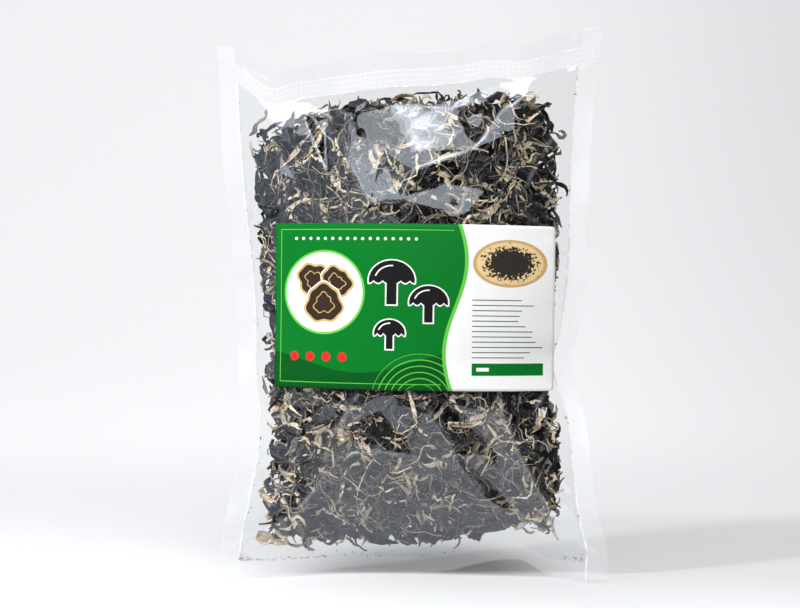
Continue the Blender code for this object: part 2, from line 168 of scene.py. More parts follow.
def flat_of(x, z):
    """The point of the flat pouch that lies at X and Z."""
    across, up = x, z
    for _ in range(6):
        low, high = bottom_edge(across), through(top_edge, across)
        up = (z - low) / (high - low) * pouch_height
        side = np.maximum(up, bottom_seam)
        left, right = through(left_edge, side), through(right_edge, side)
        across = ((x - left) / (right - left) - 0.5) * pouch_width
    return across, up


def seam_plane(across, up):
    """Y of the surface between the webs: the bottom seam bows, and the other seams wave."""
    bow_reach, flap_reach, side_reach = 0.060, 0.045, 0.030
    side = np.maximum(up, bottom_seam)
    above = side - bottom_seam
    below = np.maximum(pouch_height - top_seam - up, 0)
    from_left = across + pouch_width / 2
    from_right = pouch_width / 2 - across
    return (
        through(bottom_bow, across) * np.exp(-((above / bow_reach) ** 2))
        + through(top_wave, across) * np.exp(-((below / flap_reach) ** 2))
        + through(left_wave, side) * np.exp(-((from_left / side_reach) ** 2))
        + through(right_wave, side) * np.exp(-((from_right / side_reach) ** 2))
    )


def fullness(across, up):
    """1 in the middle of the fill, falling to 0 at the seams."""
    half_height = (pouch_height - bottom_seam - top_seam) / 2
    p = np.clip(np.abs(across) / (pouch_width / 2 - side_seam), 0, 1)
    q = np.clip(np.abs(up - bottom_seam - half_height) / half_height, 0, 1)
    return (1 - p**2) * (1 - q**3)


def beyond_label(x, z):
    """How far a point lies outside the label, below 0 on it."""
    beside = np.abs(x - label_centre[0]) - label_width / 2
    over = np.abs(z - label_centre[1]) - label_height / 2
    return np.maximum(beside, over)


def net_of(spots, heights, ties=()):
    """A tree to look up heights in: flat triangles between the spots, with the ties among their edges."""
    flat = [Vector(spot) for spot in spots]
    corners, _, triangles, origins, *_ = geometry.delaunay_2d_cdt(flat, ties, [], 0, 1e-6)
    tall = [heights[from_spots[0]] if from_spots else heights.mean() for from_spots in origins]
    return BVHTree.FromPolygons([(*c, h) for c, h in zip(corners, tall)], triangles)


def height_in(net, a, b):
    hits = [net.ray_cast((s, t, 2.0), (0, 0, -1))[0] for s, t in zip(a, b)]
    return np.array([hit.z if hit else 0.0 for hit in hits])


def scattered(draw, spacing, jitter):
    """A loose grid of points over the pouch, each moved at random by a share of the spacing."""
    grid = np.mgrid[-0.144:0.145:spacing, -0.024:0.400:spacing].reshape(2, -1).T
    return grid + draw.uniform(-jitter, jitter, grid.shape) * spacing


def crease_lines(side):
    """X and Z of points along all creases of a web."""
    runs = [(a[:2], b[:2]) for crease in creases[side] for a, b in zip(crease, crease[1:])]
    return np.concatenate([np.linspace(a, b, 40) for a, b in runs])


def crease_net(side):
    """The web as flat facets between its creases, and between random dents where it has none."""
    draw = np.random.default_rng(20 if side == "front" else 11)
    known = np.concatenate(creases[side])
    ties, first = [], 0
    for crease in creases[side]:
        ties += [(first + i, first + i + 1) for i in range(len(crease) - 1)]
        first += len(crease)
    lines = crease_lines(side)
    loose = scattered(draw, facet_size, 0.36)
    dents = draw.uniform(-1, 1, len(loose))
    kept = np.hypot(*(loose[:, None] - lines[None]).transpose(2, 0, 1)).min(axis=1) > facet_size / 2
    loose, dents = loose[kept], dents[kept]
    spots = np.concatenate((known[:, :2], loose))
    across, up = flat_of(*spots.T)
    full = fullness(across.clip(-pouch_width / 2, pouch_width / 2), up.clip(0, pouch_height))
    dents *= 0.0040 - 0.0026 * full[len(known):]
    lifts = np.concatenate((known[:, 2], dents)) * eased(full * bulges[side] / 0.010)
    return net_of(spots, bulges[side] * full + lifts, ties)


def web_y(side, across, up):
    """Y of a web's inner face without its folds."""
    out = film_gap / 2 + bulges[side] * fullness(across, up)
    return seam_plane(across, up) + (-out if side == "front" else out)


def wavering(along, length, swing, drift, phase=0.0):
    """A wave whose crests stand at uneven distances."""
    return np.sin(along / length + swing * np.sin(along / drift) + phase)


def puckers(depth, wave, inward, reach):
    """Small folds that start at a seam and die out inward of it."""
    return depth * (1 + wave) * np.exp(-inward / reach) * eased(inward / 0.003)


def creased_web(side, across, up):
    """X, Y and Z of a web's inner face with its folds, its crumples and the puckers at its seams."""
    x, z = place_of(across, up)
    full = fullness(across, up)
    free = eased(full * bulges[side] / 0.008)
    if side == "front":
        free = free * eased((beyond_label(x, z) - 0.002) / 0.012)
    seed = 5 if side == "front" else 11
    out = (height_in(crease_net(side), x, z) - bulges[side] * full) * free
    draw = np.random.default_rng(seed + 1)
    spots = scattered(draw, crumple_size, 0.45)
    crumples = height_in(net_of(spots, draw.random(len(spots))), x, z)
    out += (0.0009 - 0.0005 * full) * crumples * free
    out = np.maximum(out, -0.9 * bulges[side] * full)
    from_side = np.maximum(pouch_width / 2 - side_seam - np.abs(across), 0)
    out += puckers(0.0007, wavering(up, 0.0031, 1.6, 0.017, seed + np.sign(across)), from_side, 0.010)
    from_top = np.maximum(pouch_height - top_seam - up, 0)
    out += puckers(0.0008, wavering(across, 0.0040, 2.2, 0.021, seed), from_top, 0.011)
    y = web_y(side, across, up) + (-out if side == "front" else out)

    # Both webs share the waves along the outer edges.
    at_side = np.exp(-((np.maximum(pouch_width / 2 - np.abs(across), 0) / 0.016) ** 2))
    y += 0.0008 * wavering(up, 0.0090, 2.1, 0.031, np.sign(across)) * at_side * eased(up / 0.03)
    at_top = np.exp(-((np.maximum(pouch_height - up, 0) / 0.020) ** 2))
    y += 0.0010 * wavering(across, 0.0110, 2.4, 0.031) * at_top
    return x, y, z


def rounded(a, b, half_a, half_b, radius):
    """Moves the points of a flat sheet so that its square corners become round."""
    past_a = (np.abs(a) - (half_a - radius)) / radius
    past_b = (np.abs(b) - (half_b - radius)) / radius
    corner = (past_a > 0) & (past_b > 0)
    shrink = np.maximum(past_a, past_b) / np.maximum(np.hypot(past_a, past_b), 1e-9)
    new_a = (half_a - radius + radius * past_a * shrink) * np.sign(a)
    new_b = (half_b - radius + radius * past_b * shrink) * np.sign(b)
    return np.where(corner, new_a, a), np.where(corner, new_b, b)


def new_material(name):
    """A material and its node tree."""
    made = bpy.data.materials.new(name)
    made.use_nodes = True
    return made, made.node_tree


def feed(tree, sockets, given):
    """Links each named socket to another one, or sets its number or colour."""
    for name, one in given.items():
        if isinstance(one, bpy.types.NodeSocket):
            tree.links.new(one, sockets[name])
        else:
            sockets[name].default_value = one


def feed_shader(tree, given):
    feed(tree, tree.nodes["Principled BSDF"].inputs, given)


def node_in(tree, kind, given=None, **settings):
    """The outputs of a new node, once it is set and fed."""
    node = tree.nodes.new("ShaderNode" + kind)
    for name, setting in settings.items():
        setattr(node, name, setting)
    feed(tree, node.inputs, given or {})
    return node.outputs


def value_in(tree, operation, *given):
    """The result of a Math node on up to three sockets or numbers."""
    return node_in(tree, "Math", dict(enumerate(given)), operation=operation)[0]


def ramp_in(tree, source, low, high, to_low=0.0, to_high=1.0, steps="SMOOTHSTEP"):
    """A value that goes from to_low to to_high while the source goes from low to high."""
    ends = {"From Min": low, "From Max": high, "To Min": to_low, "To Max": to_high}
    return node_in(tree, "MapRange", {"Value": source, **ends}, interpolation_type=steps)["Result"]


def mix_in(tree, share, first, second, blend="MIX"):
    """The colour that a Mix node makes of two colours, which are its inputs 6 and 7."""
    return node_in(tree, "Mix", {0: share, 6: first, 7: second}, data_type="RGBA", blend_type=blend)[2]


def noise_in(tree, place, scale, detail):
    return node_in(tree, "TexNoise", {"Vector": place, "Scale": scale, "Detail": detail})["Fac"]


def bump_in(tree, height, strength, distance):
    heights = {"Height": height, "Strength": strength, "Distance": distance}
    return node_in(tree, "Bump", heights)["Normal"]


def parts_in(tree, vector):
    """X and Y of a vector."""
    parts = node_in(tree, "SeparateXYZ", {"Vector": vector})
    return parts["X"], parts["Y"]


milk_white, mirror_tint = (0.84, 0.84, 0.83, 1.0), (0.84, 0.90, 1.0, 1.0)

# The shares of light that the film mirrors head-on and edge-on, and the part of them that a weld loses.
mirror_ahead, mirror_edge_on, weld_loss = 0.127, 0.70, 0.7

# How much the film hides where it is clear, clouded and welded, and how strong the painted highlight lines
# are on a weld's border and on a fold.
clear_milk, cloud_milk, weld_milk, border_highlight, fold_highlight = 0.0004, 0.0022, 0.030, 0.30, 0.10


def film_material(name, outer):
    """Film for one face of a web. The outer face mirrors the room, and the inner one mirrors nothing."""
    made, tree = new_material(name)
    value, ramp = partial(value_in, tree), partial(ramp_in, tree)
    minus, times = partial(value, "SUBTRACT"), partial(value, "MULTIPLY")

    # The UV map holds the place on the flat pouch, in units of its height.
    side_weld = (pouch_width / 2 - side_seam) / pouch_height
    low_weld, top_weld = bottom_seam / pouch_height, 1 - top_seam / pouch_height
    knurl_end, soft = top_weld + knurl_width / pouch_height, 0.001
    flat = node_in(tree, "UVMap", uv_map="flat")["UV"]
    u, v = parts_in(tree, flat)
    from_middle = value("ABSOLUTE", u)
    side_band = ramp(from_middle, side_weld - soft, side_weld + soft)
    low_band = ramp(v, low_weld - soft, low_weld + soft, 1.0, 0.0)
    top_band = ramp(v, top_weld - soft, top_weld + soft)
    knurl_band = times(top_band, ramp(v, knurl_end - soft, knurl_end + soft, 1.0, 0.0))
    band = value("MAXIMUM", value("MAXIMUM", side_band, low_band), knurl_band)

    def border(place, middle, core, edge, strength=1.0):
        """A soft line where the place is at the middle."""
        return ramp(value("ABSOLUTE", minus(place, middle)), core, edge, strength, 0.0)

    # Faint clouding, and painted highlights: white lines where the welding bars end, just inside the welds,
    # where the film bends.
    inside, past = 0.0007, 0.0013
    clouding = ramp(noise_in(tree, flat, 9.0, 5.0), 0.40, 0.75)
    broken = ramp(noise_in(tree, flat, 42.0, 3.0), 0.38, 0.62, 0.15, 1.0)
    side_line = border(from_middle, side_weld - inside, 0.0005, 0.0026)
    side_line = times(side_line, ramp(v, top_weld - inside, top_weld + past, 1.0, 0.0))
    top_line = border(v, top_weld - inside, 0.0004, 0.0020, 0.5)
    bar_line = border(v, knurl_end + 0.0005, 0.0004, 0.0016, 0.35)
    between_sides = ramp(from_middle, side_weld - 0.0002, side_weld + past, 1.0, 0.0)
    across_lines = times(value("MAXIMUM", top_line, bar_line), between_sides)
    line = value("MAXIMUM", side_line, across_lines)
    haze_and_highlights = value("MULTIPLY_ADD", clouding, cloud_milk, clear_milk)
    haze_and_highlights = value("MULTIPLY_ADD", band, weld_milk, haze_and_highlights)
    haze_and_highlights = value("MULTIPLY_ADD", times(line, broken), border_highlight, haze_and_highlights)
    # Painted highlight lines along the folds, where the film bends sharply.
    fold = node_in(tree, "Attribute", attribute_name="crease")["Fac"]
    haze_and_highlights = value("MULTIPLY_ADD", times(fold, broken), fold_highlight, haze_and_highlights)

    if outer:
        facing = node_in(tree, "LayerWeight", {"Blend": 0.5})["Facing"]
        mirror = value("MULTIPLY_ADD", value("POWER", facing, 4.0), mirror_edge_on, mirror_ahead)
        welded = value("MAXIMUM", band, top_band)
        mirror = times(mirror, value("MULTIPLY_ADD", welded, -weld_loss, 1.0))
        seen_from_outside = minus(1.0, node_in(tree, "NewGeometry")["Backfacing"])
        mirror = times(mirror, seen_from_outside)
        alpha = value("ADD", mirror, haze_and_highlights)
        mirrored = value("DIVIDE", mirror, alpha)
        colour = mix_in(tree, mirrored, milk_white, mirror_tint)
        feed_shader(tree, {"Metallic": mirrored, "Base Color": colour, "Alpha": alpha})
    else:
        feed_shader(tree, {"Base Color": milk_white, "Alpha": haze_and_highlights})
    feed_shader(tree, {"Roughness": value("MULTIPLY_ADD", band, 0.12, 0.045)})

    # The knurled bar leaves small diamonds, and the other bars a faint grain.
    slant = 330.0
    one = value("SINE", times(value("ADD", u, v), slant))
    other = value("SINE", times(minus(u, v), slant))
    diamonds = times(times(one, other), knurl_band)
    relief = value("MULTIPLY_ADD", noise_in(tree, flat, 26.0, 1.0), 0.55, diamonds)
    feed_shader(tree, {"Normal": bump_in(tree, relief, 0.7, 0.0006)})
    return made


clear_film = film_material("clear film", True)
film_inside = film_material("clear film, inner face", False)
web_columns, web_rows = ((169, 233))
web_relief, fold_line_width = {}, 0.0017


def mesh_of(bm, name):
    """A smooth mesh of what has been modelled."""
    mesh = bpy.data.meshes.new(name)
    bm.to_mesh(mesh)
    bm.free()
    mesh.shade_smooth()
    return mesh


def mark(mesh, **marks):
    """Keeps a value for each point of the mesh, for its material to read."""
    for name, values in marks.items():
        mesh.attributes.new(name, "FLOAT", "POINT").data.foreach_set("value", values.ravel())


def put(mesh, *materials):
    """Puts a mesh in the scene, as an object of the same name."""
    for material in materials:
        mesh.materials.append(material)
    made = bpy.data.objects.new(mesh.name, mesh)
    bpy.context.scene.collection.objects.link(made)
    return made


def make_web(side):
    bm = bmesh.new()
    bmesh.ops.create_grid(bm, x_segments=web_columns - 1, y_segments=web_rows - 1, size=0.5)
    shares = np.array([vert.co[:2] for vert in bm.verts])
    order = np.lexsort((shares[:, 0], shares[:, 1]))
    across, up = shares[:, 0] * pouch_width, (shares[:, 1] + 0.5) * pouch_height
    spots = np.column_stack(creased_web(side, across, up))
    web_relief[side] = spots[order, 1].reshape(web_rows, web_columns)
    middle = pouch_height / 2
    across, up = rounded(across, up - middle, pouch_width / 2, middle, corner_radius)
    up += middle
    x, z = place_of(across, up)
    spots = np.column_stack((x, spots[:, 1], z)) + pouch_shift
    flat = bm.loops.layers.uv.new("flat")
    for vert, spot, a, b in zip(bm.verts, spots, across, up):
        vert.co = spot
        for loop in vert.link_loops:
            loop[flat].uv = (a / pouch_height, b / pouch_height)
    if side == "back":
        bmesh.ops.reverse_faces(bm, faces=bm.faces)
    mesh = mesh_of(bm, "web_" + side)
    # Each point's nearness to a fold, which the film paints as a highlight line.
    near = crease_lines(side)[None] - spots[:, None, (0, 2)]
    from_fold = np.hypot(near[..., 0], near[..., 1]).min(axis=1)
    mark(mesh, crease=(1 - from_fold / fold_line_width).clip(0))
    web = put(mesh, clear_film, film_inside)
    solid = web.modifiers.new("Film", "SOLIDIFY")
    solid.thickness = film_thickness
    solid.offset = 1.0
    solid.material_offset = 1
    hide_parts("film_" + side)
    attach(web, "root")


make_web("front")
make_web("back")


# The small shreds
# Wood ear cut into strips and dried: each strip curls and frills, near black and a little glossy on the
# skin side and tan and matt on the other. They lie pressed against the webs and loose behind those.

shred_steps, half_thickness = 10, 0.0003
full_turn = 6.283
length_spread, width_spread, kink_share, fork_share = 0.42, 0.34, 0.45, 0.11
fill_bottom, fill_middle, fill_top = 0.008, 0.180, 0.345
strip_kinds = {
    "outer": dict(length=0.027, width=0.0033, roll=1.15, pale_share=0.23),
    "stray": dict(length=0.026, width=0.0027, roll=1.00, pale_share=0.20),
    # Deep strips never show a pale side: black and matt, they are painted shade in the depth of the fill.
    "deep": dict(length=0.034, width=0.0075, roll=0.40, pale_share=0.0),
    "fine": dict(length=0.024, width=0.0022, roll=1.10, pale_share=0.24),
}


def shred_material():
    made, tree = new_material("dried shreds")
    mix, ramp = partial(mix_in, tree), partial(ramp_in, tree)
    place = node_in(tree, "TexCoord")["Object"]
    grain, patches = noise_in(tree, place, 700.0, 4.0), noise_in(tree, place, 170.0, 3.0)
    tone = node_in(tree, "Attribute", attribute_name="tone")["Fac"]
    tone = mix(1.0, tone, patches, "OVERLAY")
    paleness = node_in(tree, "Attribute", attribute_name="pale")["Fac"]
    pale = ramp(paleness, 0.26, 0.52)
    black, greyish = (0.0013, 0.0017, 0.0025, 1), (0.0480, 0.0500, 0.0580, 1)
    brown, cream = (0.125, 0.104, 0.076, 1), (0.72, 0.605, 0.45, 1)
    dark_skin = mix(tone, black, mix(tone, black, greyish))
    skin = mix(pale, dark_skin, mix(tone, brown, cream))
    fleck = mix(grain, (0.12, 0.10, 0.08, 1), (1.90, 1.90, 1.90, 1))

    # The pale side is rougher. Shreds deep in the pouch have a pale share below 0, and are black and matt:
    # painted shade for the depth of the fill.
    feed_shader(tree, {
        "Base Color": mix(1.0, skin, fleck, "MULTIPLY"),
        "Roughness": ramp(pale, 0.0, 1.0, 0.34, 0.85, "LINEAR"),
        "Specular IOR Level": ramp(paleness, -0.5, 0.0, 0.05, 0.38, "LINEAR"),
        "Normal": bump_in(tree, grain, 0.9, 0.0008),
    })
    return made


dried_shreds = shred_material()


def one_strip():
    """A straight strip: its points as step, side (-1, 0, 1) and face (1 top, -1 under), and its faces."""
    bm = bmesh.new()
    bmesh.ops.create_grid(bm, x_segments=shred_steps, y_segments=2, size=0.5)
    bmesh.ops.solidify(bm, geom=bm.faces[:], thickness=0.1)
    points = np.array([vert.co for vert in bm.verts])

    # The operator leaves the faces in another order each time, so they are sorted.
    faces = np.array(sorted([v.index for v in f.verts] for f in bm.faces))
    bm.free()
    step = np.rint((points[:, 0] + 0.5) * shred_steps).astype(int)
    face = np.where(points[:, 2] > points[:, 2].mean(), 1.0, -1.0)
    return step, np.rint(points[:, 1] * 2), face, faces


strip_step, strip_side, strip_face, strip_faces = one_strip()


def web_at(side, across, up):
    """Y of a web's inner face, read from the relief that its mesh was made from."""
    relief = web_relief[side]
    a = np.clip(across / pouch_width + 0.5, 0, 1) * (web_columns - 1)
    b = np.clip(up / pouch_height, 0, 1) * (web_rows - 1)
    i, j = np.minimum(a.astype(int), web_columns - 2), np.minimum(b.astype(int), web_rows - 2)
    s, t = a - i, b - j
    low = relief[j, i] * (1 - s) + relief[j, i + 1] * s
    high = relief[j + 1, i] * (1 - s) + relief[j + 1, i + 1] * s
    return low * (1 - t) + high * t


def curled_strips(draw, side, low, high, depth, reach, length, width, roll, pale_share):
    """Strips bent along curled paths, each as deep behind the web as depth says, and only where the
    smooth pouch is thicker than its reach. Gives their points, pale shares and tones."""
    steps = np.linspace(0, 1, shred_steps + 1)
    count, each = len(depth), (len(depth), 1)
    lengths = draw.lognormal(math.log(length), length_spread, each).clip(0.010, 0.100)
    widths = draw.lognormal(math.log(width), width_spread, each).clip(0.0008, 0.0075)

    # The path: an even curl, a tighter hook at one end, a wave and for some a sharp kink or two.
    heading = draw.uniform(0, full_turn, each)
    heading = heading + draw.exponential(0.9, each) * draw.choice((-1, 1), each) * steps
    heading += draw.exponential(1.4, each) * draw.choice((-1, 1), each) * steps**4
    swing, waves = draw.uniform(0.1, 0.7, each), draw.uniform(0.7, 2.6, each)
    heading += swing * np.sin(full_turn * waves * steps + draw.uniform(0, full_turn, each))
    for early, late in ((0.15, 0.50), (0.50, 0.85)):
        kink = np.where(draw.random(each) < kink_share, draw.uniform(-1.5, 1.5, each), 0)
        heading += kink * (steps > draw.uniform(early, late, each))
    lean = draw.uniform(0.1, 0.9, each)
    lean = lean * np.sin(draw.uniform(3, 8, each) * steps + draw.uniform(0, full_turn, each))
    start = np.column_stack(place_of(draw.uniform(-0.118, 0.118, count), draw.uniform(low, high, count)))

    # Some strips share the first part of their path with the one before them, as a fork.
    forks = np.flatnonzero(draw.random(count) < fork_share)
    forks = forks[forks > 0]
    for kept in (lengths, start, lean):
        kept[forks] = kept[forks - 1]
    apart = np.clip(steps - draw.uniform(0.2, 0.6, (len(forks), 1)), 0, 1)
    heading[forks] = heading[forks - 1] + draw.choice((-1, 1), (len(forks), 1)) * 2.6 * apart**0.6

    piece = lengths / shred_steps
    x = start[:, :1] + np.cumsum(np.cos(heading) * np.cos(lean) * piece, axis=1)
    z = start[:, 1:] + np.cumsum(np.sin(heading) * np.cos(lean) * piece, axis=1)
    rise = np.cumsum(np.sin(lean) * piece, axis=1)
    spots = flat_of(x.ravel(), z.ravel())
    front, back = (web_at(name, *spots).reshape(x.shape) for name in ("front", "back"))
    smooth_gap = (web_y("back", *spots) - web_y("front", *spots)).reshape(x.shape)
    gap, thinnest = back - front, 0.0014
    keep = (smooth_gap.min(axis=1) > reach) & (gap.min(axis=1) > thinnest)

    half = widths / 2 * (0.16 + 0.84 * np.sin(math.pi * np.clip(steps, 0.02, 0.98)) ** 0.7)
    waist = np.sin(draw.uniform(5, 12, each) * steps + draw.uniform(0, full_turn, each))
    half = half * (1 + 0.32 * waist)
    ragged = half * draw.uniform(0.62, 1.38, (2, *x.shape))
    turn = draw.uniform(-1, 1, each) * roll + draw.uniform(-2.2, 2.2, each) * (steps - 0.5)
    channel = draw.uniform(-0.75, 0.75, each) * half
    frill = draw.uniform(-0.45, 0.45, (2, *x.shape)) * half
    room = 0.0005 + half * np.abs(np.sin(turn)) + (np.abs(channel) + 0.45 * half) * np.abs(np.cos(turn))
    room = np.minimum(room, gap * 0.42)
    inward = 0.0004 + depth[:, None] + rise
    y = front + inward if side == "front" else back - inward
    y = np.clip(y, front + room, back - room)

    still = np.zeros_like(x)
    flat_side = np.stack((-np.sin(heading), still, np.cos(heading)), axis=-1)
    outward = np.stack((still, still - 1, still), axis=-1)
    sideways = flat_side * np.cos(turn)[..., None] + outward * np.sin(turn)[..., None]
    facing = outward * np.cos(turn)[..., None] - flat_side * np.sin(turn)[..., None]
    centre = np.stack((x, y, z), axis=-1)

    over = strip_side[None] * np.where(strip_side > 0, ragged[0][:, strip_step], ragged[1][:, strip_step])
    lift = np.where(strip_side > 0, frill[0][:, strip_step], frill[1][:, strip_step]) * (strip_side != 0)
    lift = lift - channel[:, strip_step] * np.abs(strip_side)[None] + strip_face[None] * half_thickness
    points = centre[:, strip_step] + sideways[:, strip_step] * over[..., None]
    points += facing[:, strip_step] * lift[..., None]

    # The pale side of some faces out, and the edges show a little of both sides; their pale rims are also
    # painted highlights along the edges.
    turned_out = draw.random(each) < pale_share
    outer = np.where(turned_out, draw.uniform(0.75, 1.0, each), draw.uniform(0, 0.06, each))
    inner = draw.uniform(0, 0.10, each), draw.uniform(0.3, 0.8, each) * (pale_share > 0)
    inner = np.where(turned_out, *inner)
    toward_film = strip_face[None] * (1 if side == "front" else -1) > 0
    pale = np.where(toward_film, outer, inner)
    rim = 0.46 * draw.random(each)
    # Strips with no pale share get a pale share below 0, which paints them black and matt as shade.
    pale = np.where(strip_side[None] != 0, np.maximum(pale * 0.9, rim), pale) - (pale_share == 0)
    tone = np.broadcast_to(draw.random(each) ** 0.7, pale.shape)
    points = points[keep]
    spots = flat_of(points[..., 0].ravel(), points[..., 2].ravel())
    front, back = (web_at(name, *spots).reshape(points.shape[:2]) for name in ("front", "back"))

    # No point comes nearer to a web than this, and the two faces of a strip stay apart.
    nearest, apart = 0.0003, 0.0002
    lowest = front + nearest + apart * (strip_face < 0)
    highest = back - nearest - apart * (strip_face > 0)
    points[..., 1] = points[..., 1].clip(lowest, np.maximum(highest, lowest))
    return points, pale[keep], tone[keep]


def joined(name, points, faces, pale, tone):
    """One object of many like shapes, each with its own points and all with the same faces."""
    every = faces[None] + np.arange(len(points))[:, None, None] * points.shape[1]
    spots = points.reshape(-1, 3) + pouch_shift
    mesh = bpy.data.meshes.new(name)
    mesh.from_pydata(spots.tolist(), [], every.reshape(-1, faces.shape[1]).tolist())
    mark(mesh, pale=pale, tone=tone)
    return put(mesh, dried_shreds)


def add_strips(name, groups, nodes=()):
    """One mesh of many strips, in place of the nodes."""
    points, pale, tone = (np.concatenate(kept) for kept in zip(*groups))
    made = joined(name, points, strip_faces, pale, tone)
    made.data.shade_smooth()
    made.data.set_sharp_from_angle(angle=math.radians(60))
    if nodes:
        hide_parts(*nodes)
    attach(made, "root")


many = 1.0


def fill(name, seed, count, side, low, high, nodes=()):
    """Strips against the film, strays that reach into the clear margins, and wide black ones deep inside as
    painted shade.
    """
    draw = np.random.default_rng(seed)
    outer, strays, deep = (int(count * many * share) for share in (0.84, 0.10, 0.30))
    depth, reach = 0.014 * draw.random(outer) ** 1.6, 0.0095 - draw.exponential(0.0012, outer)
    groups = [curled_strips(draw, side, low, high, depth, reach, **strip_kinds["outer"])]
    depth, reach = draw.random(strays) * 0.005, draw.uniform(0.0022, 0.008, strays)
    groups += [curled_strips(draw, side, low, high, depth, reach, **strip_kinds["stray"])]
    depth, reach = draw.uniform(0.010, 0.034, deep), np.full(deep, 0.0105)
    groups += [curled_strips(draw, side, low, high, depth, reach, **strip_kinds["deep"])]
    add_strips(name, groups, nodes)


def fine_fill(name, seed, count, side):
    """The thinnest strips, close behind the film."""
    draw = np.random.default_rng(seed)
    count = int(count * many)
    depth, reach = 0.007 * draw.random(count) ** 1.4, 0.0095 - draw.exponential(0.0010, count)
    fine = curled_strips(draw, side, fill_bottom, fill_top, depth, reach, **strip_kinds["fine"])
    add_strips(name, [fine])


fill("shreds_front_low", 21, 1600, "front", fill_bottom, fill_middle, ["shred_mass"])
fill("shreds_front_high", 22, 1600, "front", fill_middle, fill_top)
fill("shreds_back_low", 23, 1400, "back", fill_bottom, fill_middle)
fill("shreds_back_high", 24, 1400, "back", fill_middle, fill_top)
fine_fill("shreds_front_fine", 25, 1100, "front")
fine_fill("shreds_back_fine", 26, 800, "back")


# The large shreds
# The broad strips that lie against the film, cut across the cap of the fungus. Each is made from its
# solid, laid against the creased web and then rounded and ruffled.

ruffles = bpy.data.textures.new("ruffles", "CLOUDS")
ruffles.noise_scale = 0.0045
ruffle_height, film_room, trimmed = 0.0012, 0.0004, 0.0009
slots = {part["node"]: part["material_slot"] for part in frame["record"]["subparts"]}


def plain_web(side):
    """The solid's web, to measure how far the creased one departs from it."""
    bm = bmesh.new()
    bm.from_mesh(frame["nodes"]["film_" + side].data)
    tree = BVHTree.FromBMesh(bm)
    bm.free()
    return tree


plain_webs = {"front": plain_web("front"), "back": plain_web("back")}


def large_shred(name, number):
    """Moves a shred's solid from the plain web to the creased one. One of its sides is pale."""
    bm = bmesh.new()
    bm.from_mesh(frame["nodes"][name].data)
    bmesh.ops.remove_doubles(bm, verts=bm.verts, dist=0.00001)
    bmesh.ops.recalc_face_normals(bm, faces=bm.faces)
    side = "back" if "back" in name else "front"
    start = 1.0 if side == "back" else -1.0
    spots = np.array([vert.co for vert in bm.verts])
    old = [plain_webs[side].ray_cast((x, start, z), (0, -start, 0))[0].y for x, _, z in spots]
    new = web_at(side, *flat_of(spots[:, 0] - pouch_shift[0], spots[:, 2])) + pouch_shift[1]
    inward = np.array([vert.normal.y * start < 0 for vert in bm.verts])
    for vert, move in zip(bm.verts, new - np.array(old) - start * film_room):
        vert.co += Vector((vert.normal.x * -trimmed, move, vert.normal.z * -trimmed))
    mesh = mesh_of(bm, "large_" + name)
    light = slots[name] == "pale_shred"
    mottled = np.random.default_rng(number).uniform(0.36, 0.66, len(inward))
    pale = np.where(inward, 0.1, mottled) if light else np.where(inward, mottled, mottled - 0.36)
    mark(mesh, pale=pale, tone=np.full(len(pale), 0.35 + 0.6 * (number * 0.618 % 1.0)))
    made = put(mesh, dried_shreds)
    smooth = made.modifiers.new("Rounded", "SUBSURF")
    smooth.levels = smooth.render_levels = 2
    ruffle = made.modifiers.new("Ruffled", "DISPLACE")
    ruffle.texture = ruffles
    ruffle.texture_coords = "GLOBAL"
    ruffle.strength = ruffle_height
    ruffle.mid_level = 0.5
    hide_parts(name)
    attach(made, "root")


for number, name in enumerate(sorted(slots)):
    if name.startswith("shred_") and name != "shred_mass":
        large_shred(name, number)


# The crumbs
# Chips and dust that broke off the dry shreds as the pouch was filled and shaken. They have sifted down
# between the webs, to the bottom weld and along the side ones.


def make_crumbs():
    draw = np.random.default_rng(31)
    bm = bmesh.new()
    bmesh.ops.create_icosphere(bm, subdivisions=1, radius=1.0)
    ball = np.array([vert.co for vert in bm.verts])
    ball_faces = np.array([[v.index for v in f.verts] for f in bm.faces])
    bm.free()
    low, left, right, corner = 190, 80, 40, 60
    weld, above_weld, rise = pouch_width / 2 - side_seam, bottom_seam + 0.001, 0.32
    count = low + left + right + corner
    in_seam = 0.0003 + draw.exponential(0.0009, count)
    across = np.concatenate((
        -weld + np.minimum(draw.exponential(0.045, low), 0.225),
        in_seam[low:low + left] - weld,
        weld - in_seam[low + left:low + left + right],
        weld - 0.002 - draw.exponential(0.008, corner),
    ))
    up = np.concatenate((
        bottom_seam + in_seam[:low],
        above_weld + rise * draw.random(left) ** 2.6,
        above_weld + rise * draw.random(right) ** 1.5,
        bottom_seam + 0.0005 + draw.exponential(0.0022, corner),
    ))
    x, z = place_of(across, up)
    gap = web_at("back", across, up) - web_at("front", across, up)
    size = np.minimum(draw.lognormal(math.log(0.00026), 0.50, count), 0.0010)
    size = np.minimum(size, gap * 0.42)
    y = web_at("front", across, up) + size * 1.05 + draw.random(count) * (gap - size * 2.1).clip(0)
    shape = ball[None] * draw.uniform(0.6, 1.0, (count, len(ball), 1)) * size[:, None, None]
    shape[..., (0, 2)] *= draw.uniform(0.7, 1.9, (count, 1, 2))
    points = shape + np.stack((x, y, z), axis=-1)[:, None]
    pale = np.repeat(np.where(draw.random(count) < 0.35, 0.7, 0.05), len(ball))
    made = joined("crumbs", points, ball_faces, pale, np.full(len(pale), 0.5))
    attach(made, "root")


make_crumbs()


# The label
# Coated paper, printed with a green field, a white end and plain motifs, and glued to the film after the
# pouch was filled. Its lower right corner has lifted a little.


def paint_in(tree, below, mask, colour):
    """The colour below with another one laid over it where the mask is 1."""
    return mix_in(tree, mask, below, colour)


